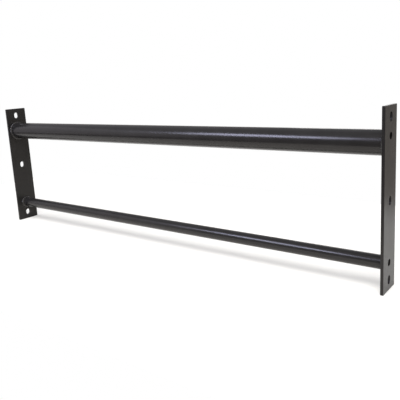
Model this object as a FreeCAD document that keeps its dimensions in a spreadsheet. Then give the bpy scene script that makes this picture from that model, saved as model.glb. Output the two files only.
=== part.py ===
import FreeCAD, Part
import math
import os
import Sketcher

# Kip bar: a fat grip tube above a skinny one, welded between two flat steel end plates that bolt
# to a training rig. Millimetres. The origin is the middle of the assembly, level with the middle
# bolt slots; +X runs along the bars, +Y is the plates' width and +Z is up, with the fat bar on top.

DIMENSIONS = {
    "overall_length": 1165,  # from one plate's outer face to the other's
    "plate_height": 352,
    "plate_width": 65,
    "plate_thickness": 6,
    "corner_radius": 2,  # at the plate's four corners
    "edge_radius": 0.8,  # along the outline of both faces
    "slot_width": 14,
    "slot_height": 18,
    "slot_spacing": 155,  # between neighbouring bolt slots
    "drain_diameter": 14,
    "drain_offset": 120.5,  # above and below the plate's middle
    "fat_bar_diameter": 48.3,
    "fat_bar_wall": 3.2,
    "fat_bar_level": 107.5,
    "skinny_bar_diameter": 28,
    "skinny_bar_wall": 2.5,
    "skinny_bar_level": -122,
    "weld_leg": 5,
    "weld_crown": 0.6,  # how far the weld's face bulges past its chord
}
SLOT_COUNT = 3
DRAIN_COUNT = 2
LEFT, RIGHT = -1, 1
ORIGIN_POINT = (-1, 1)  # the sketcher's number for a sketch's origin
VERTICAL_AXIS = -2  # the sketcher's number for a sketch's vertical axis
START, END, CENTRE = 1, 2, 3
THROUGH_ALL = 1
LEAST_CUT = 1  # cubic millimetres, so that a cut that misses is noticed

doc = FreeCAD.newDocument("KipBar")
bodies = []
cuts = []  # (feature that cuts, feature that it cuts into)


# ---------------------------------------------------------------- the sheet and small helpers


def make_sheet():
    """The driving dimensions, one row each: the name in column A, the value in column B."""
    sheet = doc.addObject("Spreadsheet::Sheet", "Dims")
    for row, (name, value) in enumerate(DIMENSIONS.items(), start=1):
        sheet.set(f"A{row}", name)
        sheet.set(f"B{row}", str(value))
        sheet.setAlias(f"B{row}", name)
    doc.recompute()
    return sheet


def new_body(name):
    body = doc.addObject("PartDesign::Body", name)
    body.Label = name
    bodies.append(body)
    return body


def new_sketch(body, name, plane_role):
    """A sketch on one of the body's own origin planes."""
    sketch = body.newObject("Sketcher::SketchObject", name)
    plane = next(f for f in body.Origin.OriginFeatures if f.Role == plane_role)
    sketch.AttachmentSupport = [(plane, "")]
    sketch.MapMode = "FlatFace"
    return sketch


def drive(sketch, kind, places, start_value, expression):
    """A dimension in the sketch that follows an expression on the sheet."""
    index = sketch.addConstraint(Sketcher.Constraint(kind, *places, start_value))
    sketch.setExpression(f"Constraints[{index}]", expression)


def place(body, x_expression, z_expression, turned=False):
    """Put a body at its place on the bars' plane, turned to face the other way if asked."""
    turn = FreeCAD.Rotation(FreeCAD.Vector(0, 0, 1), 180 if turned else 0)
    body.Placement = FreeCAD.Placement(FreeCAD.Vector(0, 0, 0), turn)
    body.setExpression("Placement.Base.x", x_expression)
    body.setExpression("Placement.Base.z", z_expression)


# ---------------------------------------------------------------- the end plates


def draw_plate_outline(sketch):
    """A rectangle with round corners, centred on the sketch's origin."""
    half_w = DIMENSIONS["plate_width"] / 2
    half_h = DIMENSIONS["plate_height"] / 2
    radius = DIMENSIONS["corner_radius"]
    up = FreeCAD.Vector(0, 0, 1)
    quarter = math.pi / 2
    sides, arcs = [], []
    for i in range(4):  # anticlockwise: each side, then the corner that it runs into
        turn = FreeCAD.Rotation(up, 90 * i)
        along, out = (half_w, half_h) if i % 2 == 0 else (half_h, half_w)
        first = turn.multVec(FreeCAD.Vector(radius - along, -out, 0))
        last = turn.multVec(FreeCAD.Vector(along - radius, -out, 0))
        middle = turn.multVec(FreeCAD.Vector(along - radius, radius - out, 0))
        corner = Part.Circle(middle, up, radius)
        sides.append(sketch.addGeometry(Part.LineSegment(first, last)))
        arc = Part.ArcOfCircle(corner, (i - 1) * quarter, i * quarter)
        arcs.append(sketch.addGeometry(arc))
    for i in range(4):
        straight = "Horizontal" if i % 2 == 0 else "Vertical"
        after = sides[(i + 1) % 4]
        sketch.addConstraint(Sketcher.Constraint(straight, sides[i]))
        sketch.addConstraint(Sketcher.Constraint("Tangent", sides[i], END, arcs[i], START))
        sketch.addConstraint(Sketcher.Constraint("Tangent", arcs[i], END, after, START))
    for arc in arcs[1:]:
        sketch.addConstraint(Sketcher.Constraint("Equal", arcs[0], arc))
    opposite_corners = (arcs[0], CENTRE, arcs[2], CENTRE)
    sketch.addConstraint(Sketcher.Constraint("Symmetric", *opposite_corners, *ORIGIN_POINT))
    drive(sketch, "Radius", (arcs[0],), radius, "Dims.corner_radius")
    drive(
        sketch,
        "DistanceX",
        (arcs[3], CENTRE, arcs[0], CENTRE),
        2 * (half_w - radius),
        "Dims.plate_width - 2 * Dims.corner_radius",
    )
    drive(
        sketch,
        "DistanceY",
        (arcs[0], CENTRE, arcs[1], CENTRE),
        2 * (half_h - radius),
        "Dims.plate_height - 2 * Dims.corner_radius",
    )


def draw_lowest_slot(sketch):
    """An upright slot with round ends, on the vertical axis, at the lowest bolt position."""
    radius = DIMENSIONS["slot_width"] / 2
    reach = DIMENSIONS["slot_height"] / 2 - radius  # from the slot's middle to an end arc's centre
    middle = -DIMENSIONS["slot_spacing"]
    up = FreeCAD.Vector(0, 0, 1)
    top_centre = FreeCAD.Vector(0, middle + reach, 0)
    bottom_centre = FreeCAD.Vector(0, middle - reach, 0)
    side = FreeCAD.Vector(radius, 0, 0)
    top = sketch.addGeometry(
        Part.ArcOfCircle(Part.Circle(top_centre, up, radius), 0, math.pi)
    )
    left = sketch.addGeometry(Part.LineSegment(top_centre - side, bottom_centre - side))
    bottom = sketch.addGeometry(
        Part.ArcOfCircle(Part.Circle(bottom_centre, up, radius), math.pi, 2 * math.pi)
    )
    right = sketch.addGeometry(Part.LineSegment(bottom_centre + side, top_centre + side))
    chain = [top, left, bottom, right]
    for i in range(4):
        meeting = (chain[i], END, chain[(i + 1) % 4], START)
        sketch.addConstraint(Sketcher.Constraint("Tangent", *meeting))
    sketch.addConstraint(Sketcher.Constraint("Equal", top, bottom))
    for arc in (top, bottom):
        sketch.addConstraint(Sketcher.Constraint("PointOnObject", arc, CENTRE, VERTICAL_AXIS))
    drive(sketch, "Radius", (top,), radius, "Dims.slot_width / 2")
    drive(
        sketch,
        "DistanceY",
        (top, CENTRE, *ORIGIN_POINT),
        -top_centre.y,
        "Dims.slot_spacing - (Dims.slot_height - Dims.slot_width) / 2",
    )
    drive(
        sketch,
        "DistanceY",
        (bottom, CENTRE, *ORIGIN_POINT),
        -bottom_centre.y,
        "Dims.slot_spacing + (Dims.slot_height - Dims.slot_width) / 2",
    )


def draw_lower_drain(sketch):
    """The round hole that drains the skinny bar, on the vertical axis."""
    radius = DIMENSIONS["drain_diameter"] / 2
    centre = FreeCAD.Vector(0, -DIMENSIONS["drain_offset"], 0)
    hole = sketch.addGeometry(Part.Circle(centre, FreeCAD.Vector(0, 0, 1), radius))
    sketch.addConstraint(Sketcher.Constraint("PointOnObject", hole, CENTRE, VERTICAL_AXIS))
    drive(sketch, "Radius", (hole,), radius, "Dims.drain_diameter / 2")
    drive(sketch, "DistanceY", (hole, CENTRE, *ORIGIN_POINT), -centre.y, "Dims.drain_offset")


def cut_holes(body, name, draw, count, span_expression):
    """A hole cut through the plate at its lowest place, then repeated up the plate."""
    base = body.Tip
    sketch = new_sketch(body, f"{name}_sketch", "YZ_Plane")
    draw(sketch)
    doc.recompute()
    pocket = body.newObject("PartDesign::Pocket", f"{name}_cut")
    pocket.Profile = sketch
    pocket.Type = THROUGH_ALL
    pocket.Reversed = True
    doc.recompute()
    repeat = body.newObject("PartDesign::LinearPattern", f"{name}_row")
    repeat.Originals = [pocket]
    repeat.Direction = (sketch, ["V_Axis"])
    repeat.Occurrences = count
    repeat.setExpression("Length", span_expression)
    body.Tip = repeat
    doc.recompute()
    cuts.append((pocket, base))
    cuts.append((repeat, pocket))


def make_end_plate(name, side):
    """A flat steel bar with softened edges, three bolt slots and two drain holes."""
    body = new_body(name)
    outline = new_sketch(body, f"{name}_outline", "YZ_Plane")
    draw_plate_outline(outline)
    doc.recompute()
    slab = body.newObject("PartDesign::Pad", f"{name}_slab")
    slab.Profile = outline
    slab.setExpression("Length", "Dims.plate_thickness")
    doc.recompute()
    softened = body.newObject("PartDesign::Fillet", f"{name}_edges")
    softened.Base = (slab, [""])
    softened.UseAllEdges = True
    softened.setExpression("Radius", "Dims.edge_radius")
    doc.recompute()
    slot_span = f"Dims.slot_spacing * {SLOT_COUNT - 1}"
    cut_holes(body, f"{name}_slots", draw_lowest_slot, SLOT_COUNT, slot_span)
    drain_span = f"Dims.drain_offset * {DRAIN_COUNT}"
    cut_holes(body, f"{name}_drains", draw_lower_drain, DRAIN_COUNT, drain_span)
    if side == LEFT:
        place(body, "-Dims.overall_length / 2", "0 mm")
    else:
        place(body, "Dims.overall_length / 2 - Dims.plate_thickness", "0 mm")


# ---------------------------------------------------------------- the two bars


def make_bar(name, bar):
    """A round tube from one plate's inner face to the other's."""
    body = new_body(name)
    ring = new_sketch(body, f"{name}_ring", "YZ_Plane")
    outer = DIMENSIONS[f"{bar}_diameter"] / 2
    inner = outer - DIMENSIONS[f"{bar}_wall"]
    axis = FreeCAD.Vector(0, 0, 1)
    for radius in (outer, inner):
        circle = ring.addGeometry(Part.Circle(FreeCAD.Vector(0, 0, 0), axis, radius))
        meeting = (circle, CENTRE, *ORIGIN_POINT)
        ring.addConstraint(Sketcher.Constraint("Coincident", *meeting))
    drive(ring, "Radius", (0,), outer, f"Dims.{bar}_diameter / 2")
    drive(ring, "Radius", (1,), inner, f"Dims.{bar}_diameter / 2 - Dims.{bar}_wall")
    doc.recompute()
    tube = body.newObject("PartDesign::Pad", f"{name}_pad")
    tube.Profile = ring
    tube.setExpression("Length", "Dims.overall_length - 2 * Dims.plate_thickness")
    doc.recompute()
    place(body, "Dims.plate_thickness - Dims.overall_length / 2", f"Dims.{bar}_level")


# ---------------------------------------------------------------- the welds


def make_weld(name, bar, side):
    """A fillet weld all round a bar where it meets a plate: a corner with a crowned face."""
    body = new_body(name)
    section = new_sketch(body, f"{name}_section", "XZ_Plane")
    radius = DIMENSIONS[f"{bar}_diameter"] / 2
    leg = DIMENSIONS["weld_leg"]
    crown = DIMENSIONS["weld_crown"]
    root = FreeCAD.Vector(0, radius, 0)
    toe_on_bar = FreeCAD.Vector(leg, radius, 0)
    toe_on_plate = FreeCAD.Vector(0, radius + leg, 0)
    bulge = (leg / 2) + crown / math.sqrt(2)
    crest = FreeCAD.Vector(bulge, radius + bulge, 0)
    along_bar = section.addGeometry(Part.LineSegment(root, toe_on_bar))
    face = section.addGeometry(Part.Arc(toe_on_bar, crest, toe_on_plate))
    along_plate = section.addGeometry(Part.LineSegment(toe_on_plate, root))
    half_chord = leg / math.sqrt(2)
    face_radius = (half_chord**2 + crown**2) / (2 * crown)
    joins = [
        (along_bar, END, face, START),
        (face, END, along_plate, START),
        (along_plate, END, along_bar, START),
    ]
    for join in joins:
        section.addConstraint(Sketcher.Constraint("Coincident", *join))
    section.addConstraint(Sketcher.Constraint("Horizontal", along_bar))
    section.addConstraint(Sketcher.Constraint("Vertical", along_plate))
    section.addConstraint(
        Sketcher.Constraint("PointOnObject", along_bar, START, VERTICAL_AXIS)
    )
    drive(
        section,
        "DistanceY",
        (*ORIGIN_POINT, along_bar, START),
        radius,
        f"Dims.{bar}_diameter / 2",
    )
    drive(section, "DistanceX", (along_bar, START, along_bar, END), leg, "Dims.weld_leg")
    drive(section, "DistanceY", (along_plate, END, along_plate, START), leg, "Dims.weld_leg")
    drive(
        section,
        "Radius",
        (face,),
        face_radius,
        "(Dims.weld_leg ^ 2 / 2 + Dims.weld_crown ^ 2) / (2 * Dims.weld_crown)",
    )
    doc.recompute()
    bead = body.newObject("PartDesign::Revolution", f"{name}_bead")
    bead.Profile = section
    bead.ReferenceAxis = (section, ["H_Axis"])
    bead.Angle = 360
    doc.recompute()
    reach = "Dims.overall_length / 2 - Dims.plate_thickness"
    x_expression = f"-({reach})" if side == LEFT else reach
    place(body, x_expression, f"Dims.{bar}_level", turned=side == RIGHT)


# ---------------------------------------------------------------- checks and files


def check_document():
    """Stop if an object failed, a sub-part isn't one valid solid, or a cut took nothing away."""
    for item in doc.Objects:
        if "Invalid" in item.State or "Error" in item.State:
            raise RuntimeError(f"{item.Name} failed: {item.State}")
    for body in bodies:
        shape = body.Shape
        if shape.isNull() or not shape.isValid() or len(shape.Solids) != 1:
            raise RuntimeError(f"{body.Label} is not one valid solid")
    for cut, base in cuts:
        if cut.Shape.Volume > base.Shape.Volume - LEAST_CUT:
            raise RuntimeError(f"{cut.Name} took nothing away")


def write_parts():
    os.makedirs("parts", exist_ok=True)
    for body in bodies:
        body.Shape.exportStep(f"parts/{body.Label}.step")
        box = body.Shape.optimalBoundingBox(False, False)
        size = f"{box.XLength:.1f} x {box.YLength:.1f} x {box.ZLength:.1f} mm"
        print(f"{body.Label}: {size}, {body.Shape.Volume / 1000:.1f} cm3")


make_sheet()
make_end_plate("left_end_plate", LEFT)
make_end_plate("right_end_plate", RIGHT)
make_bar("fat_bar_tube", "fat_bar")
make_bar("skinny_bar_tube", "skinny_bar")
for side, side_name in ((LEFT, "left"), (RIGHT, "right")):
    make_weld(f"fat_bar_weld_{side_name}", "fat_bar", side)
    make_weld(f"skinny_bar_weld_{side_name}", "skinny_bar", side)
doc.recompute()
check_document()
write_parts()
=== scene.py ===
# Looks of a kip bar: two upright end plates joined by a fat upper bar and a skinny lower bar.
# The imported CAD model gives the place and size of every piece. The plates and tubes keep their CAD shape
# and get a satin black powder coat, and a rippled bead replaces each of the four plain CAD weld rings.

import math

import bmesh
import bpy
from mathutils import Matrix, Vector, noise


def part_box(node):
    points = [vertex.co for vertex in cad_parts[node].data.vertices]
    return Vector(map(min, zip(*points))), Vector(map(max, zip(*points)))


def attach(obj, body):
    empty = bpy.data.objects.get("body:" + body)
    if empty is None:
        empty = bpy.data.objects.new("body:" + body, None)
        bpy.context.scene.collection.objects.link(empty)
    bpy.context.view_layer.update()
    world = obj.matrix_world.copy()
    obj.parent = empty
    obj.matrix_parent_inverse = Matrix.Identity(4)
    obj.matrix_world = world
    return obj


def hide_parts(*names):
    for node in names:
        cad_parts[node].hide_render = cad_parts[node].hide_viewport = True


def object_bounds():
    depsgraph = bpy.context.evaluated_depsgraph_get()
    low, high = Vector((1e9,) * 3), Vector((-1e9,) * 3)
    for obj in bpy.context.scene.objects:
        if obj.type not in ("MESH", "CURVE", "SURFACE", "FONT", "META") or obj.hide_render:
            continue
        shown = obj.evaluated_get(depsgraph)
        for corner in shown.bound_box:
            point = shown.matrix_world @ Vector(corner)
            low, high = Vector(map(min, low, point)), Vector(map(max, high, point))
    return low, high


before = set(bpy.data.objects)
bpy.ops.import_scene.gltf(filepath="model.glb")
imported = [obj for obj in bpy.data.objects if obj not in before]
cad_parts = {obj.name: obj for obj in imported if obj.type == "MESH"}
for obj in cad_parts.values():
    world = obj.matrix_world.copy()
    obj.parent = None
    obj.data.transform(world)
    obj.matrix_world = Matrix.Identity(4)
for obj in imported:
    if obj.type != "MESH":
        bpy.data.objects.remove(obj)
CAD_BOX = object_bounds()
FLOOR_LEVEL = CAD_BOX[0].z
MILLIMETRE = 0.001

# Camera: where it stands (metres), how it is turned (degrees) and its lens.
CAMERA_PLACE = (0.8814, -0.9396, 0.2452)
CAMERA_AZIMUTH = 37.72
CAMERA_TILT_DOWN = 11.18
CAMERA_ROLL = -3.23
CAMERA_LENS_MM = 46.65
CAMERA_SHIFT = (-0.0125, -0.0551)

# Studio: a white sheet, lights, and surroundings that the camera doesn't see. They are dark in front,
# lighter and warmer behind, and cool grey overhead. A panel's radiance is its brightness, whatever its
# size, and it faces its aim.
OBJECT_MIDDLE = (0.0, 0.0, 0.0)
FLOOR_X = (-1.2, 1.3)
FLOOR_Y = (-0.45, 0.62)
DAYLIGHT = (1.0, 0.985, 0.95)
OVERHEAD_FROM = (0.20, -0.40, 0.90)
OVERHEAD_WIDTH = 46.0
OVERHEAD_STRENGTH = 1.15
CANOPY = {
    "place": (0.60, -0.67, 1.35),
    "aim": (0.30, 0.0, FLOOR_LEVEL),
    "size": (1.25, 1.25),
    "radiance": 3.2,
    "colour": DAYLIGHT,
}
SOFTBOX = {
    "place": (-0.57, -1.29, 1.04),
    "aim": (0.316, 0.0, 0.107),
    "size": (0.85, 0.46),
    "radiance": 21.0,
    "colour": (0.68, 0.72, 1.0),
}
BACK_SOFTBOX = {
    "place": (1.25, 1.10, 0.95),
    "aim": OBJECT_MIDDLE,
    "size": (0.60, 0.28),
    "radiance": 14.0,
    "colour": (0.85, 0.88, 1.0),
}
WASH_FROM = (0.0, 0.0, 1.0)
WASH_STRENGTH = 1.15
WASH_COLOUR = (1.0, 0.99, 0.97)
LEFT_FILL = {
    "place": (-2.0, -1.1, 0.65),
    "aim": OBJECT_MIDDLE,
    "size": (2.2, 1.8),
    "radiance": 0.6,
    "colour": (0.95, 0.93, 1.0),
}
BACKDROP_GLOW = {
    "place": (0.0, 1.9, 0.45),
    "aim": OBJECT_MIDDLE,
    "size": (1.2, 0.8),
    "radiance": 1.6,
    "colour": (1.0, 1.0, 1.0),
}
SKY_TONE = (0.41, 0.415, 0.45, 1.0)
BACK_TONE = (0.46, 0.42, 0.385, 1.0)
FRONT_TONE = (0.19, 0.172, 0.163, 1.0)
BACK_BLEND = (0.0, 0.4)  # y of a direction where the front's tone ends and where the back's begins
SKY_BLEND = (0.1, 0.6)  # z of a direction where the walls end and where the sky is full
BLACK = (0.0, 0.0, 0.0, 1.0)
WHITE = (1.0, 1.0, 1.0, 1.0)

# White paper: its tooth in features a metre, and the depth of that tooth.
PAPER_TONE = (0.88, 0.875, 0.86, 1.0)
PAPER_SHINE = 0.2
PAPER_ROUGHNESS = (0.80, 0.95)
TOOTH_SCALE = 900.0
TOOTH_DEPTH = 0.02 * MILLIMETRE

# Powder coat: darkest and lightest tone of the paint, its sheen, and its noises. Scales are in features a
# metre, and detail is the noise's number of finer layers.
COAT_DARK = (0.0125, 0.0118, 0.0112, 1.0)
COAT_LIGHT = (0.0185, 0.0175, 0.0165, 1.0)
COAT_SHEEN = (1.0, 0.95, 0.90, 1.0)
PEEL_DEPTH = 0.060 * MILLIMETRE
GRAIN_SCALE = 1900.0
GRAIN_DETAIL = 3.0
GRAIN_DEPTH = 0.006 * MILLIMETRE
GRAIN_SHARE = 0.4  # of the gloss: the rest is cloud
CLOUD_SCALE = 28.0
CLOUD_DETAIL = 4.0
STREAK_DETAIL = 3.0
STREAK_SHARE = 0.5  # of the tone: the rest is cloud
NOISE_LOW, NOISE_HIGH = 0.3, 0.7  # most values of a noise texture lie between these

# Weld beads.
RIPPLE_LENGTH = 2.8 * MILLIMETRE
RIPPLE_HEIGHT = 0.60 * MILLIMETRE
RIPPLE_REST = 0.6  # near the mean of a ripple, so that ripples cut in about as much as they stand out
RIPPLE_LAG = 0.55  # how far the ripples trail at the toes, in ripples
RIPPLE_WANDER = 0.45  # unevenness of their spacing, in ripples
RIPPLE_SEED = 5.0  # parts the unevenness of the ripples from that of the bead's size
STEPS_PER_RIPPLE = 12
STEPS_ACROSS = 14
BEAD_CROWN = 0.9 * MILLIMETRE
BEAD_WANDER = 0.50 * MILLIMETRE
BEAD_SINK = 0.10 * MILLIMETRE  # how far the bead's root lies inside the bar and the plate
WANDER_REACH = 1.7  # radius of the circle in the noise that a bead follows: larger wanders faster
WANDER_GAIN = 1.6  # brings the noise to about -1 to 1
STOP_ANGLE = math.radians(250.0)
STOP_WIDTH = math.radians(9.0)
STOP_HEIGHT = 0.5 * MILLIMETRE
FIRST_SEED = 1.0
SEED_STEP = 3.7


def middle(node):
    """Centre of a CAD node's box."""
    low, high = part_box(node)
    return (low + high) / 2


def new_object(name, build):
    """Object from a bmesh that build() fills, with smooth faces."""
    mesh = bpy.data.meshes.new(name)
    shape = bmesh.new()
    build(shape)
    bmesh.ops.recalc_face_normals(shape, faces=shape.faces)
    shape.to_mesh(mesh)
    shape.free()
    for face in mesh.polygons:
        face.use_smooth = True
    item = bpy.data.objects.new(name, mesh)
    bpy.context.scene.collection.objects.link(item)
    return item


# Node helpers.


def add_node(tree, kind, inputs=None, **settings):
    """New shader node with its settings and its unlinked input values."""
    node = tree.nodes.new(kind)
    for name, value in settings.items():
        setattr(node, name, value)
    for name, value in (inputs or {}).items():
        node.inputs[name].default_value = value
    return node


def object_coordinates(tree, stretch=(1.0, 1.0, 1.0)):
    """Object coordinates in metres, scaled along each axis."""
    source = add_node(tree, "ShaderNodeTexCoord")
    mapping = add_node(tree, "ShaderNodeMapping", {"Scale": stretch})
    tree.links.new(source.outputs["Object"], mapping.inputs["Vector"])
    return mapping.outputs["Vector"]


def noise_field(tree, coordinates, scale, detail=2.0):
    """Noise between 0 and 1 with the given number of features a metre."""
    field = add_node(tree, "ShaderNodeTexNoise", {"Scale": scale, "Detail": detail})
    tree.links.new(coordinates, field.inputs["Vector"])
    return field.outputs["Fac"]


def ramp(tree, value, dark, light, low=NOISE_LOW, high=NOISE_HIGH):
    """Colour between dark and light as value goes from low to high."""
    node = add_node(tree, "ShaderNodeValToRGB")
    node.color_ramp.elements[0].position = low
    node.color_ramp.elements[0].color = dark
    node.color_ramp.elements[1].position = high
    node.color_ramp.elements[1].color = light
    tree.links.new(value, node.inputs["Fac"])
    return node.outputs["Color"]


def spread(tree, value, low, high):
    """Value that goes from low to high as a noise goes through its usual range."""
    limits = {"From Min": NOISE_LOW, "From Max": NOISE_HIGH, "To Min": low, "To Max": high}
    node = add_node(tree, "ShaderNodeMapRange", limits)
    tree.links.new(value, node.inputs["Value"])
    return node.outputs["Result"]


def bump(tree, height, depth, under=None):
    """Bump of the given depth in metres, on top of another bump's normal."""
    node = add_node(tree, "ShaderNodeBump", {"Strength": 1.0, "Distance": depth})
    tree.links.new(height, node.inputs["Height"])
    if under is not None:
        tree.links.new(under, node.inputs["Normal"])
    return node.outputs["Normal"]


def mix_values(tree, first, second, share):
    """Mean of two values, with the given share of the second."""
    node = add_node(tree, "ShaderNodeMix", {"Factor": share}, data_type="FLOAT")
    tree.links.new(first, node.inputs["A"])
    tree.links.new(second, node.inputs["B"])
    return node.outputs["Result"]


# Materials.


def powder_coat(name, ior, streak_scale, streak_depth, roughness, peel_scale):
    """Satin black powder coat: orange peel, fine grain, and faint streaks of the steel beneath.

    streak_scale is in features a metre along x, y and z, and roughness is its least and most."""
    material = bpy.data.materials.new(name)
    material.use_nodes = True
    tree = material.node_tree
    shader = tree.nodes["Principled BSDF"]
    shader.inputs["IOR"].default_value = ior
    shader.inputs["Specular Tint"].default_value = COAT_SHEEN
    plain = object_coordinates(tree)
    streaked = object_coordinates(tree, streak_scale)
    peel = noise_field(tree, plain, peel_scale)
    grain = noise_field(tree, plain, GRAIN_SCALE, GRAIN_DETAIL)
    cloud = noise_field(tree, plain, CLOUD_SCALE, CLOUD_DETAIL)
    streaks = noise_field(tree, streaked, 1.0, STREAK_DETAIL)
    tone = mix_values(tree, cloud, streaks, STREAK_SHARE)
    gloss = mix_values(tree, cloud, grain, GRAIN_SHARE)
    tree.links.new(ramp(tree, tone, COAT_DARK, COAT_LIGHT), shader.inputs["Base Color"])
    tree.links.new(spread(tree, gloss, *roughness), shader.inputs["Roughness"])
    steel = bump(tree, streaks, streak_depth)
    skin = bump(tree, peel, PEEL_DEPTH, steel)
    tree.links.new(bump(tree, grain, GRAIN_DEPTH, skin), shader.inputs["Normal"])
    return material


def plate_coat():
    """Coat on flat bar, whose rolling marks run up and down the plate."""
    return powder_coat(
        "plate_powder_coat",
        ior=1.33,
        streak_scale=(260.0, 260.0, 7.0),
        streak_depth=0.08 * MILLIMETRE,
        roughness=(0.26, 0.37),
        peel_scale=250.0,
    )


def bar_coat():
    """Coat on drawn tube, whose faint marks run along the bar."""
    return powder_coat(
        "bar_powder_coat",
        ior=1.37,
        streak_scale=(5.0, 220.0, 220.0),
        streak_depth=0.022 * MILLIMETRE,
        roughness=(0.20, 0.26),
        peel_scale=280.0,
    )


def weld_coat():
    """Coat that has flowed over the weld beads, lies a little thicker and is glossier."""
    return powder_coat(
        "weld_powder_coat",
        ior=1.50,
        streak_scale=(300.0, 300.0, 300.0),
        streak_depth=0.04 * MILLIMETRE,
        roughness=(0.17, 0.23),
        peel_scale=350.0,
    )


def floor_paper():
    """White paper with a very fine tooth."""
    material = bpy.data.materials.new("floor_paper")
    material.use_nodes = True
    tree = material.node_tree
    shader = tree.nodes["Principled BSDF"]
    shader.inputs["Base Color"].default_value = PAPER_TONE
    shader.inputs["Specular IOR Level"].default_value = PAPER_SHINE
    tooth = noise_field(tree, object_coordinates(tree), TOOTH_SCALE)
    tree.links.new(spread(tree, tooth, *PAPER_ROUGHNESS), shader.inputs["Roughness"])
    tree.links.new(bump(tree, tooth, TOOTH_DEPTH), shader.inputs["Normal"])
    return material


# Weld beads.


def bead_wander(angle, seed):
    """Slow unevenness around a bead, between about -1 and 1."""
    around = Vector((math.cos(angle), math.sin(angle), 0.0))
    return noise.noise(around * WANDER_REACH + Vector((seed, 0.0, seed))) * WANDER_GAIN


def stop_lump(angle):
    """How strongly the overlap of the bead's start and stop shows at this angle, from 0 to 1."""
    away = math.remainder(angle - STOP_ANGLE, math.tau)
    return math.exp(-((away / STOP_WIDTH) ** 2))


def bead_skin(angle, across, leg, ripples, seed):
    """Height over the bar and distance from the plate of the bead's skin.

    across runs from 0 at the toe on the plate to 1 at the toe on the bar."""
    wander = bead_wander(angle, seed)
    lump = stop_lump(angle)
    side = leg + BEAD_WANDER * wander + STOP_HEIGHT * lump - BEAD_WANDER
    hump = 4.0 * across * (1.0 - across)
    phase = ripples * angle / math.tau + RIPPLE_LAG * (2.0 * across - 1.0) ** 2
    phase += RIPPLE_WANDER * bead_wander(angle, seed + RIPPLE_SEED)
    ripple = abs(math.sin(math.pi * phase)) - RIPPLE_REST
    rise = hump * (BEAD_CROWN + STOP_HEIGHT * lump) + hump**0.5 * RIPPLE_HEIGHT * ripple
    out = math.sqrt(0.5) * rise
    return side * (1.0 - across) + out, side * across + out


def weld_bead(node, bar_node, seed):
    """Rippled bead in the corner between a bar and a plate, in place of the CAD ring."""
    low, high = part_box(node)
    centre = middle(node)
    bar_low, bar_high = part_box(bar_node)
    radius = (bar_high.y - bar_low.y) / 2
    leg = (high.y - low.y) / 2 - radius
    inward = -1.0 if centre.x > 0 else 1.0
    plate_face = high.x if centre.x > 0 else low.x
    ripples = round(math.tau * (radius + leg / 2) / RIPPLE_LENGTH)
    steps = ripples * STEPS_PER_RIPPLE

    def section(angle):
        """Closed section of the bead: its skin, then its root in the corner."""
        points = []
        for step in range(STEPS_ACROSS + 1):
            points.append(bead_skin(angle, step / STEPS_ACROSS, leg, ripples, seed))
        points[0] = (points[0][0], -BEAD_SINK)
        points[-1] = (-BEAD_SINK, points[-1][1])
        points.append((-BEAD_SINK, -BEAD_SINK))
        return points

    def build(shape):
        rings = []
        for step in range(steps):
            angle = math.tau * step / steps
            ring = []
            for height, along in section(angle):
                reach = radius + height
                place = (
                    plate_face + inward * along,
                    reach * math.cos(angle),
                    centre.z + reach * math.sin(angle),
                )
                ring.append(shape.verts.new(place))
            rings.append(ring)
        for this, after in zip(rings, rings[1:] + rings[:1]):
            for a, b in zip(range(len(this)), [*range(1, len(this)), 0]):
                shape.faces.new((this[a], this[b], after[b], after[a]))

    bead = new_object(node.replace("weld", "bead"), build)
    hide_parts(node)
    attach(bead, "root")
    return bead


# Studio.


def make_floor():
    """White sheet that the object stands on."""

    def build(shape):
        corners = []
        for x, y in ((0, 0), (1, 0), (1, 1), (0, 1)):
            corners.append(shape.verts.new((FLOOR_X[x], FLOOR_Y[y], FLOOR_LEVEL)))
        shape.faces.new(corners)

    floor = new_object("floor_sheet", build)
    floor.data.materials.append(floor_paper())
    return floor


def make_surroundings():
    """Soft surroundings for light and reflections, and plain white where the camera looks past the floor."""
    world = bpy.data.worlds.new("studio")
    world.use_nodes = True
    bpy.context.scene.world = world
    tree = world.node_tree
    tree.nodes.clear()
    direction = add_node(tree, "ShaderNodeTexCoord")
    parts = add_node(tree, "ShaderNodeSeparateXYZ")
    tree.links.new(direction.outputs["Generated"], parts.inputs["Vector"])
    room = add_node(tree, "ShaderNodeBackground")
    walls = ramp(tree, parts.outputs["Y"], FRONT_TONE, BACK_TONE, *BACK_BLEND)
    height = ramp(tree, parts.outputs["Z"], BLACK, WHITE, *SKY_BLEND)
    tones = add_node(tree, "ShaderNodeMix", data_type="RGBA")
    tones.inputs["B"].default_value = SKY_TONE
    tree.links.new(height, tones.inputs["Factor"])
    tree.links.new(walls, tones.inputs["A"])
    tree.links.new(tones.outputs["Result"], room.inputs["Color"])
    backdrop = add_node(tree, "ShaderNodeBackground", {"Color": WHITE})
    rays = add_node(tree, "ShaderNodeLightPath")
    choice = add_node(tree, "ShaderNodeMixShader")
    tree.links.new(rays.outputs["Is Camera Ray"], choice.inputs["Fac"])
    tree.links.new(room.outputs["Background"], choice.inputs[1])
    tree.links.new(backdrop.outputs["Background"], choice.inputs[2])
    output = add_node(tree, "ShaderNodeOutputWorld")
    tree.links.new(choice.outputs["Shader"], output.inputs["Surface"])


def add_light(name, data, place, towards, colour):
    """Light at a place, shining towards a direction."""
    data.color = colour
    light = bpy.data.objects.new(name, data)
    light.location = place
    light.rotation_euler = Vector(towards).to_track_quat("-Z", "Y").to_euler()
    light.visible_camera = False
    bpy.context.scene.collection.objects.link(light)
    return light


def add_sun(name, source, strength, colour):
    """Parallel light that comes from the direction of source."""
    sun = bpy.data.lights.new(name, "SUN")
    sun.energy = strength
    return add_light(name, sun, source, -Vector(source), colour)


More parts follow.
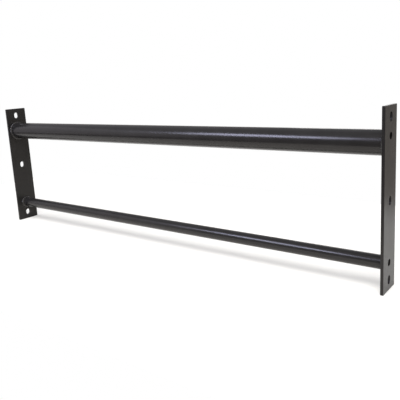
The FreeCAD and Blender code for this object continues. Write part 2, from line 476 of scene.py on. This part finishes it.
def add_panel(name, place, aim, size, radiance, colour):
    """Evenly bright rectangular panel, aimed at a point."""
    panel = bpy.data.lights.new(name, "AREA")
    panel.shape = "RECTANGLE"
    panel.size, panel.size_y = size
    panel.energy = radiance * math.pi * size[0] * size[1]
    return add_light(name, panel, place, Vector(aim) - Vector(place), colour)


def link_to_floor(light, floor, state):
    """Lets a light reach only the floor (INCLUDE) or everything but the floor (EXCLUDE)."""
    group = bpy.data.collections.new(f"{light.name}_group")
    group.objects.link(floor)
    group.collection_objects[0].light_linking.link_state = state
    light.light_linking.receiver_collection = group
    return group


def make_lights(floor):
    """Broad light from overhead, softboxes in front and behind, and soft fills.

    The canopy lights the floor and fades across it, and would show as a hard-edged panel in the bars'
    gloss, so reflections don't see it. The softboxes leave the floor alone. The wash lights only the
    floor and casts no shadow of the object, so that only a soft shadow is left there."""
    overhead = add_sun("overhead", OVERHEAD_FROM, OVERHEAD_STRENGTH, DAYLIGHT)
    overhead.data.angle = math.radians(OVERHEAD_WIDTH)
    add_panel("canopy", **CANOPY).visible_glossy = False
    for name, box in (("softbox", SOFTBOX), ("back_softbox", BACK_SOFTBOX)):
        link_to_floor(add_panel(name, **box), floor, "EXCLUDE")
    wash = add_sun("floor_wash", WASH_FROM, WASH_STRENGTH, WASH_COLOUR)
    wash.light_linking.blocker_collection = link_to_floor(wash, floor, "INCLUDE")
    add_panel("left_fill", **LEFT_FILL)
    add_panel("backdrop_glow", **BACKDROP_GLOW)


def make_camera():
    """Camera at the viewing angle of the front right, a little above the object."""
    data = bpy.data.cameras.new("camera")
    data.lens = CAMERA_LENS_MM
    data.shift_x, data.shift_y = CAMERA_SHIFT
    camera = bpy.data.objects.new("camera", data)
    turn = Matrix.Rotation(math.radians(CAMERA_AZIMUTH), 4, "Z")
    tilt = Matrix.Rotation(math.radians(90.0 - CAMERA_TILT_DOWN), 4, "X")
    roll = Matrix.Rotation(math.radians(CAMERA_ROLL), 4, "Z")
    camera.matrix_world = Matrix.Translation(CAMERA_PLACE) @ turn @ tilt @ roll
    bpy.context.scene.collection.objects.link(camera)
    bpy.context.scene.camera = camera


def dress_cad_nodes():
    """Gives the plates and tubes their powder coat."""
    coats = {"plate_coat": plate_coat(), "bar_coat": bar_coat()}
    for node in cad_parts.values():
        for slot in node.material_slots:
            if slot.material and slot.material.name in coats:
                slot.material = coats[slot.material.name]


def make_beads():
    """The four weld beads, each with its own unevenness."""
    coat = weld_coat()
    seed = FIRST_SEED
    for bar in ("fat_bar", "skinny_bar"):
        for side in ("left", "right"):
            bead = weld_bead(f"{bar}_weld_{side}", f"{bar}_tube", seed)
            bead.data.materials.append(coat)
            seed += SEED_STEP


bpy.context.scene.view_settings.view_transform = "Standard"
make_camera()
make_lights(make_floor())
make_surroundings()
dress_cad_nodes()
make_beads()
